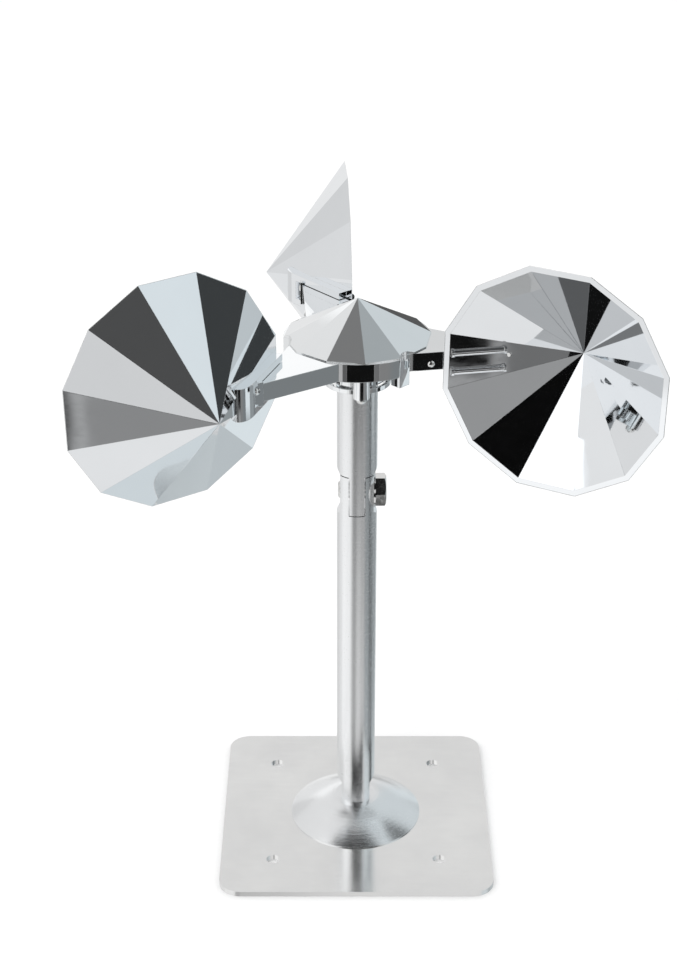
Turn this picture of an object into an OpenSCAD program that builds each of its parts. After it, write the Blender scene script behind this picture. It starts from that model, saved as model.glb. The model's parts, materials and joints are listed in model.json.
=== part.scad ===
// Three-cup wind rotor on a two-section mast that tilts at a knuckle, on a square base plate.
// Millimetres, +Z up. The origin is the centre of the base plate's underside.
// Each arm is drawn along +X and turned into place. Its cup opens towards -Y.

/* [Base] */
// Width of the square base plate
plate_w = 127; // [110:1:150]
// Thickness of the base plate
plate_t = 2.5; // [2:0.5:6]
// Corner radius of the base plate
plate_corner_r = 10; // [4:1:16]
// Spacing of the four fixing holes, both ways
hole_pitch = 78; // [72:1:90]
// Diameter of the fixing holes
hole_d = 6.2; // [4:0.1:7]
// Outer diameter of the domed flange
flange_d = 62; // [50:1:66]
// Height of the domed flange
flange_h = 10.5; // [8:0.5:14]

/* [Mast] */
// Diameter of both mast sections
mast_d = 18; // [17.5:0.25:20]
// Height of the tilt pivot above the table
pivot_z = 177.5; // [120:0.5:180]
// Width across the wrench flats at the mast's foot
foot_flat_w = 13.1; // [12.5:0.1:15]
// Width across the flats on the knuckle's ears
ear_flat_w = 15; // [14.6:0.1:16]
// Thickness of the tongue between the ears
tongue_w = 6.8; // [6:0.1:8]
// Diameter of the pivot bolt
bolt_d = 8; // [6:1:8]
// Width across the flats of the pivot bolt's head
bolt_af = 13; // [10:1:14]

/* [Rotor] */
// Diameter swept by the cups
rotor_d = 280; // [270:1:300]
// Height of the cups' centres above the table
rotor_z = 247.5; // [247:0.5:249]
// Circumradius of each cup's twelve-sided rim
cup_r = 51.2; // [48:0.1:52]
// Depth from a cup's rim to its point
cup_depth = 37.7; // [36:0.1:42]
// Wall thickness of a cup
cup_t = 1.5; // [1.2:0.1:2]
// Turn of a cup's first corner up from its arm's line
cup_phase = 14; // [12:0.5:16]
// Direction of the first arm, from +X towards +Y
first_arm = -27; // [-60:1:60]

/* [Hub] */
// Radius of the hub frame's disc
disc_r = 32; // [30:0.5:33]
// Height of the hub frame's wall
frame_h = 8.1; // [8:0.1:10]
// Distance from the rotor axis to the straight side of each arm
arm_side = 21.5; // [20:0.5:22]
// Radius at which each arm ends
arm_tip = 66.5; // [64:0.5:67]
// Circumradius of the twelve-sided cap
cap_r = 32; // [30:0.5:33]
// Height of the cap's slopes
cap_h = 17; // [15:0.5:20]
// Height of the upright rim below the cap's slopes
cap_rim = 0.5; // [0.3:0.1:2]

/* [Hidden] */
$fn = 96;
EPS = 0.01;

// Colours
SATIN = [0.72, 0.73, 0.75];
CHROME = [0.86, 0.88, 0.91];
STEEL = [0.62, 0.63, 0.65];
DARK = [0.35, 0.36, 0.38];

// Base and mast
mast_r = mast_d / 2;
plate_top = plate_t;
foot_z = plate_top + flange_h;
flange_land_r = mast_r + 0.6;
flange_edge_h = 0.5;
flange_crown = 1.5;
csk_r = 6.2;
screw_r = 3;
foot_flat_h = 9.6;
foot_chamfer_h = 2.6;

// Knuckle
ear_r = mast_r + 0.35;
shoulder_gap = 0.8;
shoulder_z = pivot_z + mast_r + shoulder_gap;
slot_gap = 0.3;
slot_depth = mast_r + 0.5;
tongue_r = mast_r + 0.1;
end_chamfer = (mast_d - ear_flat_w) / 2;
end_chamfer_h = 2.6;
bolt_turn = 23;
ear_flat_h = 9;
bolt_r = bolt_d / 2;
running_fit = 0.05;
washer_t = 0.8;
washer_r = 8;
head_t = 4.8;
bolt_proud = 1;
bolt_chamfer = 0.9;

// Spindle and bearings
frame_top = rotor_z + 4.3;
frame_z = frame_top - frame_h;
journal_r = 4;
collar_r = 6;
bearing_w = 7;
bearing_r = 11;
pitch_r = 7.6;
ball_r = 1.98;
groove_r = 2.05;
ball_count = 7;
inner_race_r = 6.2;
outer_race_r = 9.1;
upper_bearing_z = frame_top - 4.8;
bearing_gap = 6;
lower_bearing_z = upper_bearing_z - bearing_gap - bearing_w;
mast_top = lower_bearing_z - 5;
nut_h = 6.5;
nut_z = upper_bearing_z + bearing_w + washer_t;

// Hub
arm_turns = [first_arm, first_arm + 120, first_arm + 240];
boss_r = 13;
skirt_r = 14.7;
skirt_wall = 1.5;
skirt_ribs = 10;
skirt_drop = 3.5;
skirt_z = lower_bearing_z - skirt_drop;
skirt_ring_h = 2;
post_r = 3.6;
post_at = 18.5;
post_turn = first_arm + 62;
post_z = skirt_z + 0.2;
hub_wall = 2.2;
top_wall = 2.2;
hub_screw_r = 1.5;
hub_screw_top = frame_top + 4.2;
ring_t = 1;
ring_r = 11.5;
cap_z = frame_top + cap_rim;
cap_t = 1.8;
cap_turn = 5.5;
scallop_r = 7.5;
scallop_at = [34.4, -12.9];
lug_at = 25.6;
lug_turn = -18;
lug_size = [5, 6, 7];

// Cups. A facet of each cup faces the hub. Along it, s runs from the rim towards the point.
cup_x = rotor_d / 2 - cup_r * cos(cup_phase);
cup_a = cup_r * cos(15);
facet_slope = atan(cup_depth / cup_a);
facet_x = cup_x - cup_a;
pad_t = 0.8;
arm_gap = 0.1;
arm_mid = frame_top - frame_h / 2;
rail_h = 3;
rail_gap = 0.25;
rail_out = 4.2;
rail_start = 4.2;
arm_end_s = (arm_tip - facet_x) / cos(facet_slope) + 1;
rail_end = arm_end_s + 3.4;
fairing_len = 8;
rib_r = 1.3;
rib_start = 2.7;
rib_len = 24;
rib_at = 4.2;
rivet_r = 0.9;
rivet_head_r = 1.5;
rivet_head_h = 0.6;
tip_rivet_x = arm_tip - 2.5;
tip_rivet_rise = 1.6;
root_rivet_s = -5.2;
root_rivet_drop = 1.3;
tab_start = arm_tip - 5.5;
tab_end = arm_tip + 1;
tab_t = 1;

// ---------- helpers ----------

// Puts an X-axis cylinder of radius r from x0 to x1 at the pivot.
module pivot_rod(r, x0, x1) {
    translate([x0, 0, pivot_z]) rotate([0, 90, 0]) cylinder(h = x1 - x0, r = r);
}

// A ring between two radii.
module ring(z, h, r_in, r_out) {
    translate([0, 0, z]) difference() {
        cylinder(h = h, r = r_out);
        translate([0, 0, -1]) cylinder(h = h + 2, r = r_in);
    }
}

// Turns its children into the facet's frame: X is s, Y is outwards, Z is up from the arm's middle.
module on_facet() {
    translate([facet_x, 0, arm_mid]) rotate([0, 0, facet_slope]) children();
}

// A twelve-sided pyramid whose base lies on z = 0.
module pyramid(r, h) {
    cylinder(h = h, r1 = r, r2 = 0, $fn = 12);
}

// ---------- base ----------

module base_plate() {
    mid = plate_w / 2 - plate_corner_r;
    color(SATIN) difference() {
        union() {
            translate([-plate_w / 2, -mid, 0]) cube([plate_w, 2 * mid, plate_t]);
            translate([-mid, -plate_w / 2, 0]) cube([2 * mid, plate_w, plate_t]);
            for (x = [-mid, mid], y = [-mid, mid])
                translate([x, y, 0]) cylinder(h = plate_t, r = plate_corner_r);
        }
        for (x = [-1, 1], y = [-1, 1])
            translate([x * hole_pitch / 2, y * hole_pitch / 2, -1])
                cylinder(h = plate_t + 2, d = hole_d);
        translate([0, 0, -1]) cylinder(h = plate_t + 2, r = screw_r + 0.2);
        rotate_extrude()
            polygon([[0, -EPS], [csk_r, -EPS], [screw_r + 0.2, plate_t], [0, plate_t]]);
    }
}

module base_flange() {
    bore_r = screw_r + 0.2;
    steps = 12;
    rise = flange_h - flange_edge_h;
    // Height of the crowned slope, a fraction t of the way out from the land to the edge
    function crown(t) = foot_z - rise * pow(t, flange_crown);
    slope = [for (i = [steps : -1 : 0]) let (t = i / steps)
        [flange_land_r + t * (flange_d / 2 - flange_land_r), crown(t)]];
    color(SATIN) rotate_extrude() polygon(concat([[bore_r, plate_top], [flange_d / 2, plate_top]],
        slope, [[bore_r, foot_z]]));
}

// Countersunk screw that holds the plate and the flange to the mast.
module foot_screw() {
    head_r = csk_r - 0.45;
    socket_af = 4;
    color(STEEL) difference() {
        rotate_extrude() polygon([
            [0, 0.2], [head_r, 0.2], [screw_r, plate_t], [screw_r, foot_z + 14], [0, foot_z + 14]
        ]);
        translate([0, 0, -1]) cylinder(h = 3, d = socket_af / cos(30), $fn = 6);
    }
}

// ---------- mast ----------

// Cuts both sides of a mast section flat, with a slope at the upper or lower end of the flats.
module side_flats(w, z0, z1, z2) {
    out = mast_d;
    for (side = [0, 1]) mirror([side, 0, 0]) rotate([90, 0, 0])
        translate([0, 0, -out]) linear_extrude(2 * out)
            polygon([[w / 2, z0], [w / 2, z1], [mast_r + 0.2, z2], [out, z2], [out, z0]]);
}

module mast_lower() {
    flat_top = foot_z + foot_flat_h;
    ear_flat_z = pivot_z - ear_flat_h;
    color(SATIN) difference() {
        intersection() {
            translate([0, 0, foot_z]) cylinder(h = pivot_z + mast_d - foot_z, r = mast_r);
            union() {
                translate([-mast_d, -mast_d, 0]) cube([2 * mast_d, 2 * mast_d, pivot_z]);
                translate([-mast_d, -mast_d, 0]) cube([2 * mast_d, mast_d, pivot_z + ear_r]);
                pivot_rod(ear_r, -mast_d, mast_d);
            }
        }
        side_flats(foot_flat_w, foot_z - 1, flat_top, flat_top + foot_chamfer_h);
        side_flats(ear_flat_w, pivot_z + mast_d, ear_flat_z, ear_flat_z - end_chamfer - 0.2);
        translate([-tongue_w / 2 - slot_gap, -mast_d, pivot_z - slot_depth])
            cube([tongue_w + 2 * slot_gap, 2 * mast_d, 2 * mast_d]);
        pivot_rod(bolt_r, -mast_d, 0);
        pivot_rod(bolt_r + 0.2, 0, mast_d);
        translate([0, 0, foot_z - 1]) cylinder(h = 16, r = screw_r);
    }
}

module knuckle_washer() {
    color(STEEL) difference() {
        pivot_rod(washer_r, ear_flat_w / 2, ear_flat_w / 2 + washer_t);
        pivot_rod(bolt_r + 0.2, 0, mast_d);
    }
}

// Hexagon bolt: its thread holds in the left ear, and the tongue turns on its shank.
module knuckle_bolt() {
    seat = ear_flat_w / 2 + washer_t;
    tip = -ear_flat_w / 2 - bolt_proud;
    corner_r = bolt_af / 2 / cos(30);
    bevel = 1;
    color(STEEL) union() {
        intersection() {
            translate([seat, 0, pivot_z]) rotate([bolt_turn, 0, 0]) rotate([0, 90, 0])
                cylinder(h = head_t, r = corner_r, $fn = 6);
            translate([seat, 0, pivot_z]) rotate([0, 90, 0]) rotate_extrude()
                polygon([[0, 0], [corner_r + 1, 0], [corner_r + 1, head_t - 1.3 * bevel],
                    [bolt_af / 2 - 0.4, head_t], [0, head_t]]);
        }
        pivot_rod(bolt_r, tip + bolt_chamfer, seat + 1);
        translate([tip, 0, pivot_z]) rotate([0, 90, 0]) rotate_extrude()
            polygon([[0, 0], [bolt_r - bolt_chamfer, 0], [bolt_r, bolt_chamfer],
                [bolt_r, bolt_chamfer + 1], [0, bolt_chamfer + 1]]);
    }
}

// The tongue is square in front and round behind, so the upper mast tilts backwards only.
module mast_upper() {
    color(SATIN) difference() {
        union() {
            difference() {
                rotate_extrude() polygon([
                    [0, shoulder_z], [mast_r, shoulder_z], [mast_r, mast_top - 0.6],
                    [mast_r - 0.6, mast_top], [0, mast_top]
                ]);
                side_flats(ear_flat_w, shoulder_z - 1, shoulder_z, shoulder_z + end_chamfer_h);
            }
            intersection() {
                translate([-tongue_w / 2, -mast_r, pivot_z - mast_d])
                    cube([tongue_w, mast_d, mast_d + shoulder_z - pivot_z + EPS]);
                cylinder(h = shoulder_z + 1, r = mast_r);
                union() {
                    translate([-mast_d, -mast_d, pivot_z]) cube([2 * mast_d, 2 * mast_d, mast_d]);
                    translate([-mast_d, -mast_d, pivot_z - tongue_r])
                        cube([2 * mast_d, mast_d, mast_d]);
                    pivot_rod(tongue_r, -mast_d, mast_d);
                }
            }
        }
        pivot_rod(bolt_r + running_fit, -mast_d, mast_d);
        translate([0, 0, mast_top - 12]) cylinder(h = 13, r = journal_r);
    }
}

// ---------- spindle and bearings ----------

module spindle() {
    top = nut_z + nut_h + 1;
    color(STEEL) rotate_extrude() polygon([
        [0, mast_top - 12], [journal_r, mast_top - 12], [journal_r, mast_top],
        [collar_r, mast_top], [collar_r, lower_bearing_z], [journal_r, lower_bearing_z],
        [journal_r, top - 0.8], [journal_r - 0.8, top], [0, top]
    ]);
}

// The ring-shaped groove that the balls run in.
module ball_groove(z) {
    translate([0, 0, z + bearing_w / 2]) rotate_extrude()
        translate([pitch_r, 0]) circle(r = groove_r);
}

module inner_race(z) {
    color(STEEL) difference() {
        ring(z, bearing_w, journal_r, inner_race_r);
        ball_groove(z);
    }
}

module outer_race(z) {
    color(STEEL) difference() {
        ring(z, bearing_w, outer_race_r, bearing_r);
        ball_groove(z);
    }
}

// Balls and the cage that spaces them.
module ball_set(z) {
    cage_h = 1.6;
    color(DARK) union() {
        ring(z + (bearing_w - cage_h) / 2, cage_h, pitch_r - 0.5, pitch_r + 0.5);
        for (i = [0 : ball_count - 1]) rotate([0, 0, i * 360 / ball_count])
            translate([pitch_r, 0, z + bearing_w / 2]) sphere(r = ball_r, $fn = 32);
    }
}

module race_spacer() {
    color(STEEL) ring(lower_bearing_z + bearing_w, bearing_gap, journal_r, collar_r - 0.3);
}

module spindle_washer() {
    color(STEEL) ring(upper_bearing_z + bearing_w, washer_t, journal_r, collar_r);
}

module spindle_nut() {
    color(STEEL) difference() {
        translate([0, 0, nut_z]) cylinder(h = nut_h, d = bolt_af / cos(30), $fn = 6);
        translate([0, 0, nut_z - 1]) cylinder(h = nut_h + 2, r = journal_r);
    }
}

// Split ring that keeps the lower bearing in the hub.
module retaining_ring() {
    color(DARK) difference() {
        ring(lower_bearing_z - ring_t, ring_t, outer_race_r + 0.8, ring_r);
        translate([-2.5, -20, lower_bearing_z - 2]) cube([5, 20, 4]);
    }
}

// ---------- hub ----------

// Plan of one arm: a wedge between its straight side and the side that the cup lies against.
module arm_plan(inset) {
    out = pad_t + arm_gap + inset;
    // x of the slanted side where it crosses a given y
    function slant_x(y) = facet_x + (y * cos(facet_slope) - out) / sin(facet_slope);
    side = arm_side - inset;
    end = arm_tip - inset * 3;
    low = -6 + inset;
    polygon([
        [12, side], [end, side], [end, min(side, (end - facet_x) * tan(facet_slope)
            + out / cos(facet_slope))], [slant_x(low), low], [12, low - 8]
    ]);
}

// Plan of the hub frame: a disc, three arms and a scallop where each arm leaves the disc.
module frame_plan() {
    difference() {
        union() {
            circle(r = disc_r);
            for (a = arm_turns) rotate(a) arm_plan(0);
        }
        at_scallops();
    }
}

// Plan of the three scallops.
module at_scallops() {
    for (a = arm_turns) rotate(a) translate(scallop_at) circle(r = scallop_r);
}

module at_posts() {
    for (i = [0 : 2]) rotate([0, 0, post_turn + 120 * i]) translate([post_at, 0, 0]) children();
}

module rivet_hole_tip() {
    translate([tip_rivet_x, 0, arm_mid + tip_rivet_rise]) rotate([-90, 0, 0])
        cylinder(h = arm_side + 2, r = rivet_r);
}

module rivet_hole_root() {
    on_facet() translate([root_rivet_s, pad_t + arm_gap - 1, -root_rivet_drop])
        rotate([-90, 0, 0]) cylinder(h = 7, r = rivet_r);
}

module hub_frame() {
    pocket_h = frame_h - top_wall;
    color(CHROME) difference() {
        union() {
            difference() {
                translate([0, 0, frame_z]) linear_extrude(frame_h) frame_plan();
                difference() {
                    ring(frame_z - 1, pocket_h + 1, boss_r - 0.5, disc_r - hub_wall);
                    for (a = [0 : 5]) rotate([0, 0, first_arm + 60 * a + 2])
                        translate([0, -1, frame_z - 2]) cube([disc_r, 2, frame_h]);
                }
                for (a = arm_turns) rotate([0, 0, a]) difference() {
                    translate([0, 0, frame_z - 1]) linear_extrude(pocket_h + 1)
                        arm_plan(hub_wall);
                    cylinder(h = frame_top, r = disc_r);
                }
            }
            translate([0, 0, skirt_z + skirt_ring_h + 0.5])
                cylinder(h = upper_bearing_z + bearing_w - skirt_z - skirt_ring_h - 0.5, r = boss_r);
            ring(skirt_z, skirt_ring_h, skirt_r - skirt_wall, skirt_r);
            for (i = [0 : skirt_ribs - 1]) rotate([0, 0, 12 + i * 360 / skirt_ribs])
                translate([boss_r - 0.6, -0.7, skirt_z + 0.4])
                    cube([skirt_r - boss_r + 0.4, 1.4, frame_z - skirt_z + 1]);
            at_posts() translate([0, 0, post_z]) cylinder(h = frame_top - post_z - 1, r = post_r);
            for (a = arm_turns) rotate([0, 0, a + lug_turn])
                translate([lug_at - lug_size.x / 2, -lug_size.y / 2, frame_z - lug_size.z])
                    cube([lug_size.x, lug_size.y, lug_size.z + frame_h - 1]);
        }
        translate([0, 0, skirt_z - 1]) cylinder(h = bearing_w + skirt_drop + 1, r = bearing_r);
        translate([0, 0, skirt_z]) cylinder(h = frame_top, r = outer_race_r + 0.7);
        translate([0, 0, upper_bearing_z]) cylinder(h = bearing_w + 2, r = bearing_r);
        translate([0, 0, lower_bearing_z - ring_t]) cylinder(h = ring_t, r = ring_r);
        at_posts() translate([0, 0, post_z - 1]) cylinder(h = frame_h + 30, r = hub_screw_r);
        for (a = arm_turns) rotate([0, 0, a]) {
            rivet_hole_tip();
            rivet_hole_root();
        }
    }
}

// Outside of the cap: a short upright rim with a low pyramid on it.
module cap_solid(h) {
    rotate([0, 0, cap_turn]) union() {
        translate([0, 0, frame_top]) cylinder(h = cap_rim, r = cap_r, $fn = 12);
        translate([0, 0, cap_z]) pyramid(cap_r, h);
    }
}

module hub_cap() {
    slope = atan(cap_h / (cap_r * cos(15)));
    drop = cap_t / cos(slope);
    color(CHROME) difference() {
        union() {
            difference() {
                cap_solid(cap_h);
                translate([0, 0, cap_z - drop]) rotate([0, 0, cap_turn]) pyramid(cap_r, cap_h);
            }
            intersection() {
                cap_solid(cap_h - 0.3);
                at_posts() translate([0, 0, frame_top]) cylinder(h = 8, r = 2.8);
            }
        }
        at_posts() translate([0, 0, frame_top - 1])
            cylinder(h = hub_screw_top - frame_top + 1, r = hub_screw_r);
        translate([0, 0, frame_top - 1]) linear_extrude(cap_h) at_scallops();
    }
}

// Pan-head screw that holds the cap down through one of the hub's posts.
module hub_screw(i) {
    head_r = 2.3;
    head_h = 2.6;
    color(STEEL) rotate([0, 0, post_turn + 120 * i]) translate([post_at, 0, 0]) difference() {
        rotate_extrude() polygon([
            [0, post_z - head_h], [head_r - 1.2, post_z - head_h], [head_r - 0.3, post_z - head_h + 0.8],
            [head_r, post_z - head_h + 1.6], [head_r, post_z], [hub_screw_r, post_z],
            [hub_screw_r, hub_screw_top], [0, hub_screw_top]
        ]);
        for (a = [0, 90]) rotate([0, 0, a])
            translate([-1.1, -0.3, post_z - head_h - 1]) cube([2.2, 0.6, 2]);
    }
}

// ---------- cups ----------

// Pyramid of a cup with its rim on y = 0 and its point at +Y.
module cup_cone(r, depth) {
    translate([cup_x, 0, rotor_z]) rotate([-90, 0, 0]) rotate([0, 0, -cup_phase]) pyramid(r, depth);
}

module cup_shell() {
    deeper = cup_t / cos(facet_slope);
    difference() {
        cup_cone(cup_r, cup_depth);
        translate([0, -deeper, 0]) cup_cone(cup_r, cup_depth);
    }
}

// Plan of the socket's fairing: it curves from full height down to the facet.
module fairing_plan() {
    steps = 8;
    polygon(concat([[0, -0.8]], [for (i = [0 : steps]) let (q = 90 * i / steps)
        [fairing_len * sin(q), rail_out * cos(q)]], [[fairing_len, -0.8]]));
}

// Socket that holds the arm: a pad, two rails, a curved fairing and a tab over the tip.
module cup_socket() {
    half = frame_h / 2 + rail_gap;
    on_facet() {
        translate([rail_start, -0.8, -half - rail_h])
            cube([rail_end - rail_start, pad_t + 0.8, 2 * (half + rail_h)]);
        for (z = [-half - rail_h, half])
            translate([rail_start, -0.8, z]) cube([rail_end - rail_start, rail_out + 0.8, rail_h]);
        translate([rail_end - 1.6, -0.8, -half - rail_h])
            cube([1.6 + EPS, rail_out + 0.8, 2 * (half + rail_h)]);
        translate([rail_end, 0, -half - rail_h]) linear_extrude(2 * (half + rail_h))
            fairing_plan();
    }
    translate([tab_start, arm_side + arm_gap, arm_mid - half - 1])
        cube([tab_end - tab_start, tab_t, 2 * half + 2]);
}

// Two rounded ribs inside the cup, behind the socket.
module cup_ribs() {
    depth = -cup_t - 0.6;
    on_facet() for (z = [-rib_at, rib_at]) translate([rib_start, depth, z]) {
        rotate([0, 90, 0]) cylinder(h = rib_len, r = rib_r, $fn = 32);
        rotate([0, 90, 0]) cylinder(h = 1.2, r = rib_r + 0.4, $fn = 32);
        translate([rib_len - 1.2, 0, 0]) rotate([0, 90, 0])
            cylinder(h = 1.2, r = rib_r + 0.4, $fn = 32);
    }
}

module cup(i) {
    color(CHROME) rotate([0, 0, arm_turns[i]]) difference() {
        union() {
            cup_shell();
            cup_socket();
            cup_ribs();
        }
        rivet_hole_tip();
    }
}

// Rivet through the arm's straight side and the cup's socket.
module tip_rivet(i) {
    inner_end = 15.5;
    seat = arm_side + arm_gap + tab_t;
    color(STEEL) rotate([0, 0, arm_turns[i]])
        translate([tip_rivet_x, seat, arm_mid + tip_rivet_rise]) rotate([-90, 0, 0])
            rotate_extrude() polygon([
                [0, inner_end - seat], [rivet_r, inner_end - seat], [rivet_r, 0],
                [rivet_head_r, 0], [rivet_head_r - 0.5, rivet_head_h * 0.7], [0, rivet_head_h]
            ]);
}

// Rivet in the arm's slanted side, beside the cup's rim.
module root_rivet(i) {
    length = 5;
    color(STEEL) rotate([0, 0, arm_turns[i]]) on_facet()
        translate([root_rivet_s, pad_t + arm_gap, -root_rivet_drop]) rotate([-90, 0, 0])
            rotate_extrude() polygon([
                [0, -rivet_head_h], [rivet_head_r - 0.5, -rivet_head_h * 0.7], [rivet_head_r, 0],
                [rivet_r, 0], [rivet_r, length], [0, length]
            ]);
}

// ---------- assembly ----------

base_plate();
base_flange();
foot_screw();
mast_lower();
knuckle_washer();
knuckle_bolt();
mast_upper();
spindle();
inner_race(lower_bearing_z);  // lower_inner_race
ball_set(lower_bearing_z);  // lower_balls
outer_race(lower_bearing_z);  // lower_outer_race
race_spacer();
inner_race(upper_bearing_z);  // upper_inner_race
ball_set(upper_bearing_z);  // upper_balls
outer_race(upper_bearing_z);  // upper_outer_race
spindle_washer();
spindle_nut();
retaining_ring();
hub_frame();
hub_cap();
hub_screw(0);  // hub_screw_right
hub_screw(1);  // hub_screw_left
hub_screw(2);  // hub_screw_front
cup(0);  // cup_right
cup(1);  // cup_back
cup(2);  // cup_left
tip_rivet(0);  // tip_rivet_right
tip_rivet(1);  // tip_rivet_back
tip_rivet(2);  // tip_rivet_left
root_rivet(0);  // root_rivet_right
root_rivet(1);  // root_rivet_back
root_rivet(2);  // root_rivet_left
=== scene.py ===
"""Cup rotor on a tilting mast: materials, studio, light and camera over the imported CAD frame."""

import json
from math import radians

import bpy
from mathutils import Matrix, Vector

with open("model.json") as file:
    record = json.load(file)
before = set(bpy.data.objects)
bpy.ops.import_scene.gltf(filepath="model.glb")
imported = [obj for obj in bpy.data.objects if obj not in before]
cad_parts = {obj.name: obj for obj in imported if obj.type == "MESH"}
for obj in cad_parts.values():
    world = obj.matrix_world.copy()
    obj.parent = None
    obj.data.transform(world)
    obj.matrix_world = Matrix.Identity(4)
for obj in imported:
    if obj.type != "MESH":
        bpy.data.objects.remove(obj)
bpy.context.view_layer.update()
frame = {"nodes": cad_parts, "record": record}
nodes = frame["nodes"]
MM = 0.001


# ---------- node helpers ----------


def new_material(name):
    """A material with an empty node tree. Returns (material, tree, principled shader)."""
    material = bpy.data.materials.new(name)
    material.use_nodes = True
    tree = material.node_tree
    tree.nodes.clear()
    output = tree.nodes.new("ShaderNodeOutputMaterial")
    shader = tree.nodes.new("ShaderNodeBsdfPrincipled")
    tree.links.new(shader.outputs["BSDF"], output.inputs["Surface"])
    return material, tree, shader


def new_metal(name, metallic=1.0):
    """A metal with an empty node tree. Returns (material, tree, principled shader)."""
    material, tree, shader = new_material(name)
    shader.inputs["Metallic"].default_value = metallic
    return material, tree, shader


def math_node(tree, operation, a, b=None, c=None):
    """A Math node. Each argument is a number or the socket that feeds it."""
    node = tree.nodes.new("ShaderNodeMath")
    node.operation = operation
    for socket, value in zip(node.inputs, (a, b, c)):
        if value is None:
            continue
        if isinstance(value, (int, float)):
            socket.default_value = value
        else:
            tree.links.new(value, socket)
    return node.outputs[0]


def noise(tree, scale, detail=3.0, stretch=(1, 1, 1), roughness=0.5):
    """Noise from 0 to 1 in object space. Scale is in features per metre, times stretch."""
    coords = tree.nodes.new("ShaderNodeTexCoord")
    mapping = tree.nodes.new("ShaderNodeMapping")
    mapping.inputs["Scale"].default_value = stretch
    texture = tree.nodes.new("ShaderNodeTexNoise")
    texture.inputs["Scale"].default_value = scale
    texture.inputs["Detail"].default_value = detail
    texture.inputs["Roughness"].default_value = roughness
    tree.links.new(coords.outputs["Object"], mapping.inputs["Vector"])
    tree.links.new(mapping.outputs["Vector"], texture.inputs["Vector"])
    return texture.outputs["Fac"]


def spread(tree, value, low, high, start=0.3, end=0.7):
    """Maps start..end of a value to low..high, and holds it there beyond both ends."""
    node = tree.nodes.new("ShaderNodeMapRange")
    node.inputs["From Min"].default_value = start
    node.inputs["From Max"].default_value = end
    node.inputs["To Min"].default_value = low
    node.inputs["To Max"].default_value = high
    tree.links.new(value, node.inputs["Value"])
    return node.outputs["Result"]


def tint(tree, value, dark, light):
    """A colour from dark, where value is 0, to light, where it is 1."""
    node = tree.nodes.new("ShaderNodeMix")
    node.data_type = "RGBA"
    node.inputs["A"].default_value = (*dark, 1)
    node.inputs["B"].default_value = (*light, 1)
    tree.links.new(value, node.inputs["Factor"])
    return node.outputs["Result"]


def worn(tree, wear, colour, bare):
    """The socket's colour, with the bare colour where wear is 1."""
    node = tree.nodes.new("ShaderNodeMix")
    node.data_type = "RGBA"
    tree.links.new(colour, node.inputs["A"])
    node.inputs["B"].default_value = (*bare, 1)
    tree.links.new(wear, node.inputs["Factor"])
    return node.outputs["Result"]


BEVEL_SAMPLES = 4
PLATING_EDGE = 0.3 * MM
MACHINED_EDGE = 0.25 * MM
# Cosines between the rounded and the flat normal: at a fully worn edge, and where the wear stops.
WORN_COSINE = 0.9
FLAT_COSINE = 0.998


def rounded_edges(tree, radius):
    """The surface normal, with its edges rounded over a radius in metres."""
    bevel = tree.nodes.new("ShaderNodeBevel")
    bevel.samples = BEVEL_SAMPLES
    bevel.inputs["Radius"].default_value = radius
    return bevel.outputs["Normal"]


def edge_wear(tree, rounded):
    """Patchy wear along the edges, from 0 on the flats to 1 on a worn edge."""
    surface = tree.nodes.new("ShaderNodeNewGeometry")
    turn = tree.nodes.new("ShaderNodeVectorMath")
    turn.operation = "DOT_PRODUCT"
    tree.links.new(rounded, turn.inputs[0])
    tree.links.new(surface.outputs["Normal"], turn.inputs[1])
    edge = spread(tree, turn.outputs["Value"], 1, 0, WORN_COSINE, FLAT_COSINE)
    patches = spread(tree, noise(tree, 350, detail=4), 0.3, 1)
    return math_node(tree, "MULTIPLY", edge, patches)


def bump(tree, shader, height, distance, normal=None):
    """Bumps a shader's normal by a height from 0 to 1, distance metres high."""
    node = tree.nodes.new("ShaderNodeBump")
    node.inputs["Strength"].default_value = 1.0
    node.inputs["Distance"].default_value = distance
    tree.links.new(height, node.inputs["Height"])
    if normal:
        tree.links.new(normal, node.inputs["Normal"])
    tree.links.new(node.outputs["Normal"], shader.inputs["Normal"])


# ---------- materials ----------


def mirror_plating(name, dark, light):
    """Bright plating on a polished moulding: nearly flat, with faint ripples, haze and dust."""
    material, tree, shader = new_metal(name)
    haze = noise(tree, 45, detail=4)
    dust = noise(tree, 900, detail=5, roughness=0.7)
    smear = noise(tree, 130, detail=3, stretch=(1, 1, 3))
    rounded = rounded_edges(tree, PLATING_EDGE)
    wear = edge_wear(tree, rounded)
    plating = tint(tree, haze, dark, light)
    colour = worn(tree, wear, plating, bare=(0.80, 0.80, 0.79))
    tree.links.new(colour, shader.inputs["Base Color"])
    clean = spread(tree, smear, 0.015, 0.045)
    dusty = math_node(tree, "ADD", clean, spread(tree, dust, 0, 0.03, start=0.6, end=0.8))
    sheen = math_node(tree, "MULTIPLY_ADD", wear, 0.12, dusty)
    tree.links.new(sheen, shader.inputs["Roughness"])
    ripple = noise(tree, 38, detail=1)
    bump(tree, shader, ripple, 0.03 * MM, normal=rounded)
    return material


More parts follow.
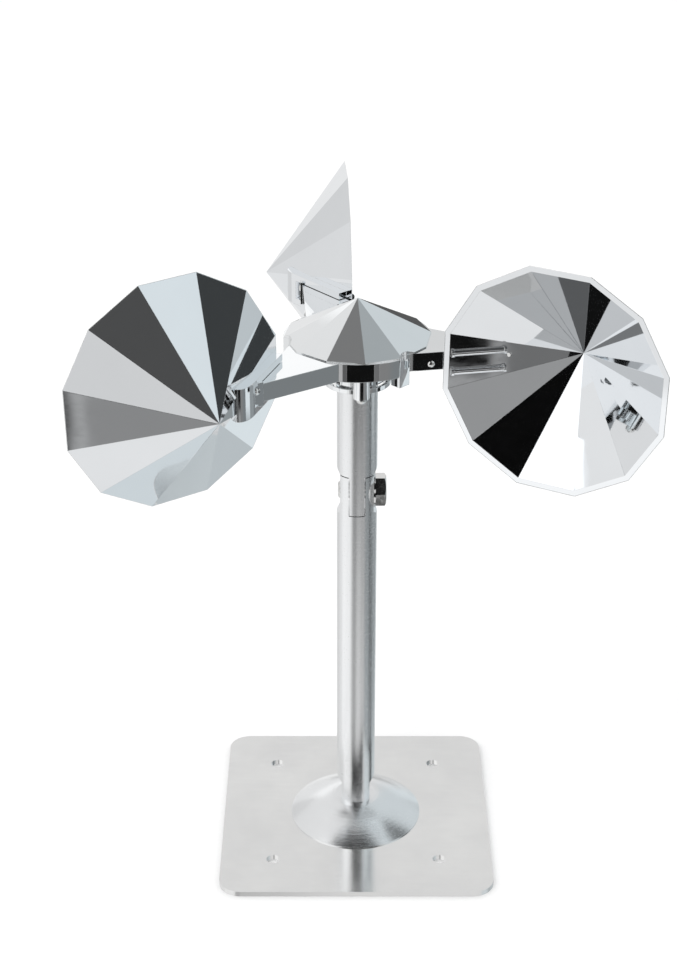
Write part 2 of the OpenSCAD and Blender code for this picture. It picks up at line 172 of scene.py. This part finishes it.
def satin_bar(name, dark, light):
    """Turned satin bar: fine rings round the mast, soft streaks along it and worn edges."""
    material, tree, shader = new_metal(name)
    rings = noise(tree, 60, detail=6, stretch=(2, 2, 140), roughness=0.65)
    streaks = noise(tree, 90, detail=3, stretch=(3, 3, 0.12))
    grain = noise(tree, 1500, detail=3, stretch=(1, 1, 0.25))
    wear = edge_wear(tree, rounded_edges(tree, MACHINED_EDGE))
    metal = tint(tree, streaks, dark, light)
    colour = worn(tree, wear, metal, bare=(0.97, 0.97, 0.97))
    tree.links.new(colour, shader.inputs["Base Color"])
    turned = spread(tree, rings, 0.2, 0.27)
    sheen = math_node(tree, "ADD", turned, spread(tree, grain, 0, 0.03))
    tree.links.new(sheen, shader.inputs["Roughness"])
    bump(tree, shader, rings, 0.003 * MM)
    return material


def satin_plate(name, dark, light, rough):
    """Satin plate: fine brushing along its width, a faint mottle and worn edges."""
    material, tree, shader = new_metal(name)
    brushing = noise(tree, 120, detail=6, stretch=(0.5, 22, 22), roughness=0.7)
    mottle = noise(tree, 28, detail=5, roughness=0.6)
    shade = math_node(tree, "ADD", spread(tree, mottle, 0, 0.7), spread(tree, brushing, 0, 0.3))
    wear = edge_wear(tree, rounded_edges(tree, MACHINED_EDGE))
    metal = tint(tree, shade, dark, light)
    colour = worn(tree, wear, metal, bare=(0.96, 0.96, 0.96))
    tree.links.new(colour, shader.inputs["Base Color"])
    brushed = spread(tree, brushing, rough, rough * 1.6)
    mottled = math_node(tree, "ADD", brushed, spread(tree, mottle, 0, 0.05))
    sheen = math_node(tree, "MULTIPLY_ADD", wear, 0.15, mottled)
    tree.links.new(sheen, shader.inputs["Roughness"])
    bump(tree, shader, brushing, 0.003 * MM)
    return material


def polished_steel(name, dark, light):
    """Plated fastener: polished, with small handling marks."""
    material, tree, shader = new_metal(name)
    marks = noise(tree, 1100, detail=5, stretch=(1, 1, 0.4), roughness=0.75)
    patches = noise(tree, 260, detail=3)
    tree.links.new(tint(tree, patches, dark, light), shader.inputs["Base Color"])
    handled = spread(tree, marks, 0.06, 0.16)
    sheen = math_node(tree, "ADD", handled, spread(tree, patches, 0, 0.05))
    tree.links.new(sheen, shader.inputs["Roughness"])
    bump(tree, shader, marks, 0.004 * MM)
    return material


def ground_steel(name, dark, light):
    """Ground bearing steel with rings round the rotor's axis."""
    material, tree, shader = new_metal(name)
    rings = noise(tree, 70, detail=5, stretch=(1, 1, 60), roughness=0.6)
    patches = noise(tree, 300)
    tree.links.new(tint(tree, patches, dark, light), shader.inputs["Base Color"])
    tree.links.new(spread(tree, rings, 0.12, 0.26), shader.inputs["Roughness"])
    bump(tree, shader, rings, 0.004 * MM)
    return material


def oiled_steel(name, dark, light):
    """Dark oiled spring steel, slightly blotched."""
    material, tree, shader = new_metal(name, metallic=0.8)
    blotch = noise(tree, 420, detail=5, roughness=0.7)
    tree.links.new(tint(tree, blotch, dark, light), shader.inputs["Base Color"])
    tree.links.new(spread(tree, blotch, 0.28, 0.5), shader.inputs["Roughness"])
    bump(tree, shader, blotch, 0.01 * MM)
    return material


def finishes():
    """One procedural material for each of the record's material slots."""
    return {
        "mirror_chrome": mirror_plating("cup_plating", (0.88, 0.90, 0.92), (0.93, 0.95, 0.97)),
        "hub_chrome": mirror_plating("hub_plating", (0.87, 0.89, 0.90), (0.93, 0.94, 0.95)),
        "satin_aluminium": satin_bar("mast_aluminium", (0.86, 0.87, 0.88), (0.94, 0.95, 0.96)),
        "plate_aluminium": satin_plate(
            "plate_aluminium", (0.82, 0.82, 0.82), (0.93, 0.93, 0.92), rough=0.1
        ),
        "bolt_steel": polished_steel("fastener_steel", (0.74, 0.74, 0.73), (0.86, 0.86, 0.85)),
        "bearing_steel": ground_steel("race_steel", (0.62, 0.62, 0.63), (0.74, 0.74, 0.75)),
        "dark_steel": oiled_steel("spring_steel", (0.05, 0.05, 0.055), (0.11, 0.11, 0.12)),
    }


def paint_nodes():
    """Gives every CAD node the finish of its material slot, and the spun flange a softer one."""
    materials = finishes()
    spun = satin_plate("flange_aluminium", (0.84, 0.85, 0.86), (0.93, 0.94, 0.95), rough=0.16)
    for row in frame["record"]["subparts"]:
        name = row["node"]
        finish = spun if name == "base_flange" else materials[row["material_slot"]]
        for slot in nodes[name].material_slots:
            slot.material = finish


# ---------- studio ----------

# What the polished faces see: azimuth range, elevation range and brightness of each card and flag.
# Azimuth is 0 towards the camera and grows towards +X. Elevation is 0 at the horizon. Both are in
# degrees. Where two cards overlap, the later one shows.
CARDS = {
    "bright wall on the left": ((-84, -45), (-4, 34), 0.90),
    "bright floor on the left": ((-92, -36), (-38, -24), 1.0),
    "room on the left of the camera": ((-44, -28), (-20, 4), 0.60),
    "grey edge of the room": ((-28, -23), (-16, 2), 0.20),
    "dark edge of the room": ((-23, -17), (-28, 2), 0.11),
    "dark room behind the camera": ((-17, 25.6), (-25, 2), 0.006),
    "dark table edge": ((-17, 25.6), (-28, -25), 0.26),
    "table in front": ((-24, -2), (-46, -28), 0.45),
    "bright table in front": ((-2, 24), (-46, -28), 0.78),
    "table corner on the left": ((-28, -23), (-40, -16), 0.45),
    "left of the tripod": ((-24, 6), (2, 20), 0.66),
    "tripod side": ((6, 34), (2, 20), 0.31),
    "dark ceiling, left of the camera": ((-25, 7), (24, 62), 0.003),
    "dark ceiling, right of the camera": ((7, 44), (24, 62), 0.075),
    "room on the right of the camera": ((25.6, 34), (-28, 2), 0.16),
    "grey flag on the right": ((34, 73), (-28, -9), 0.22),
    "dark stripe on the right": ((73, 85), (-28, -9), 0.02),
    "floor on the right": ((24, 48), (-36, -28), 0.56),
    "shaded floor on the right": ((48, 78), (-36, -28), 0.30),
    "dark floor on the right": ((78, 108), (-36, -25), 0.10),
    "tall flag on the right": ((88, 112), (12, 60), 0.05),
    "grey wall at the right": ((108, 144), (-34, -14), 0.31),
    "wall under the grey wall": ((94, 170), (-70, -36), 0.56),
    "under the rotor": ((-70, 60), (-90, -72), 0.46),
    "under the rotor, right": ((60, 180), (-90, -72), 0.72),
    "wall on the left": ((-118, -84), (-12, 10), 0.74),
    "wall behind, left": ((-150, -118), (-34, 24), 0.68),
    "wall on the right": ((114, 150), (-14, 14), 0.58),
    "wall behind, right": ((114, 180), (14, 60), 0.70),
    "wall behind": ((-180, -150), (-34, 12), 0.84),
    "dark doorway behind": ((160, 178), (-34, -4), 0.10),
    "door frame behind": ((-180, -172), (-34, -4), 0.40),
    "overhead frame, left": ((-180, -130), (66, 84), 0.20),
    "overhead frame, right": ((116, 168), (62, 80), 0.42),
    "dark gap overhead": ((-66, 62), (58, 82), 0.005),
    "diffuser overhead": ((-80, 66), (82, 90), 0.50),
    "bright sweep behind, low": ((-180, -150), (14, 30), 1.05),
    "bright sweep behind, left": ((-180, -160), (30, 48), 0.76),
    "bright sweep behind, right": ((160, 180), (30, 48), 0.76),
    "key softbox": ((-80, -34), (34, 60), 1.25),
}
# Brightness where there is no card, and of the plain white that the camera and the floor see.
SURROUND = 0.81
BACKDROP = 1.3
# Width of a card's soft edge, in degrees.
CARD_EDGE = 0.7
# The side of the room with a slightly blue light: the azimuth of its middle, and how many degrees
# from there the tint starts to fade and ends.
COOL_AZIMUTH = 108.0
COOL_FADE = (50, 62)
COOL_TINT = (0.90, 0.97, 1.0)
FLOOR_SIZE = 8.0
# The floor lies this far under the plate, so that the two faces don't flicker.
FLOOR_GAP = 0.05 * MM
# The photograph's view, measured from the photograph: the camera's place in metres, and its angles
# in degrees.
CAMERA_PLACE = (-7.1 * MM, -799.8 * MM, 584.4 * MM)
CAMERA_PITCH = 26.73
CAMERA_YAW = 0.05


def band(tree, value, low, high):
    """1 where value is between low and high degrees, 0 outside, with a soft edge."""
    rise = spread(tree, value, 0, 1, low - CARD_EDGE / 2, low + CARD_EDGE / 2)
    fall = spread(tree, value, 1, 0, high - CARD_EDGE / 2, high + CARD_EDGE / 2)
    return math_node(tree, "MULTIPLY", rise, fall)


def studio_world():
    """Reflections see the cards. The camera and the soft fill light see plain white."""
    world = bpy.data.worlds.new("studio")
    world.use_nodes = True
    tree = world.node_tree
    tree.nodes.clear()
    coords = tree.nodes.new("ShaderNodeTexCoord")
    axes = tree.nodes.new("ShaderNodeSeparateXYZ")
    tree.links.new(coords.outputs["Generated"], axes.inputs["Vector"])
    toward = math_node(tree, "MULTIPLY", axes.outputs["Y"], -1.0)
    azimuth = math_node(tree, "DEGREES", math_node(tree, "ARCTAN2", axes.outputs["X"], toward))
    elevation = math_node(tree, "DEGREES", math_node(tree, "ARCSINE", axes.outputs["Z"]))
    level = SURROUND
    for azimuths, elevations, brightness in CARDS.values():
        across, upright = band(tree, azimuth, *azimuths), band(tree, elevation, *elevations)
        mask = math_node(tree, "MULTIPLY", across, upright)
        mix = tree.nodes.new("ShaderNodeMix")
        tree.links.new(mask, mix.inputs["Factor"])
        if isinstance(level, float):
            mix.inputs["A"].default_value = level
        else:
            tree.links.new(level, mix.inputs["A"])
        mix.inputs["B"].default_value = brightness
        level = mix.outputs["Result"]
    cards = tree.nodes.new("ShaderNodeBackground")
    away = math_node(tree, "ABSOLUTE", math_node(tree, "SUBTRACT", azimuth, COOL_AZIMUTH))
    cool = spread(tree, away, 1, 0, *COOL_FADE)
    tree.links.new(tint(tree, cool, (1, 1, 1), COOL_TINT), cards.inputs["Color"])
    tree.links.new(level, cards.inputs["Strength"])
    plain = tree.nodes.new("ShaderNodeBackground")
    plain.inputs["Strength"].default_value = BACKDROP
    path = tree.nodes.new("ShaderNodeLightPath")
    choose = tree.nodes.new("ShaderNodeMixShader")
    tree.links.new(path.outputs["Is Glossy Ray"], choose.inputs["Fac"])
    tree.links.new(plain.outputs["Background"], choose.inputs[1])
    tree.links.new(cards.outputs["Background"], choose.inputs[2])
    output = tree.nodes.new("ShaderNodeOutputWorld")
    tree.links.new(choose.outputs["Shader"], output.inputs["Surface"])
    bpy.context.scene.world = world


def floor():
    """A plain pale floor, just under the plate. Reflections look through it, to the cards."""
    mesh = bpy.data.meshes.new("floor")
    half = FLOOR_SIZE / 2
    corners = [(-half, -half, 0), (half, -half, 0), (half, half, 0), (-half, half, 0)]
    mesh.from_pydata(corners, [], [(0, 1, 2, 3)])
    ground = bpy.data.objects.new("floor", mesh)
    bpy.context.collection.objects.link(ground)
    material, tree, shader = new_material("paper_floor")
    paper = noise(tree, 300, detail=4)
    white = tint(tree, paper, (0.93, 0.93, 0.93), (0.96, 0.96, 0.96))
    tree.links.new(white, shader.inputs["Base Color"])
    shader.inputs["Roughness"].default_value = 0.9
    shader.inputs["Specular IOR Level"].default_value = 0.0
    mesh.materials.append(material)
    ground.visible_glossy = False
    ground.location.z = -FLOOR_GAP


def soft_light(name, place, target, size, power):
    """A square area light that points at target, and that reflections don't show."""
    lamp = bpy.data.lights.new(name, "AREA")
    lamp.size = size
    lamp.energy = power
    light = bpy.data.objects.new(name, lamp)
    bpy.context.collection.objects.link(light)
    light.location = place
    light.rotation_euler = (Vector(target) - Vector(place)).to_track_quat("-Z", "Y").to_euler()
    light.visible_glossy = False


def camera():
    """The photograph's view: from the front, looking down at the rotor."""
    lens = bpy.data.cameras.new("camera")
    lens.lens = 75.0
    lens.sensor_width = 36.0
    lens.clip_start = 0.01
    view = bpy.data.objects.new("camera", lens)
    bpy.context.collection.objects.link(view)
    view.location = CAMERA_PLACE
    view.rotation_euler = (radians(90 - CAMERA_PITCH), 0, radians(CAMERA_YAW))
    bpy.context.scene.camera = view


def main():
    paint_nodes()
    studio_world()
    floor()
    soft_light("key", place=(-0.9, -1.1, 1.5), target=(0, 0, 0.1), size=1.4, power=9)
    camera()
    bpy.context.scene.view_settings.view_transform = "Standard"


main()
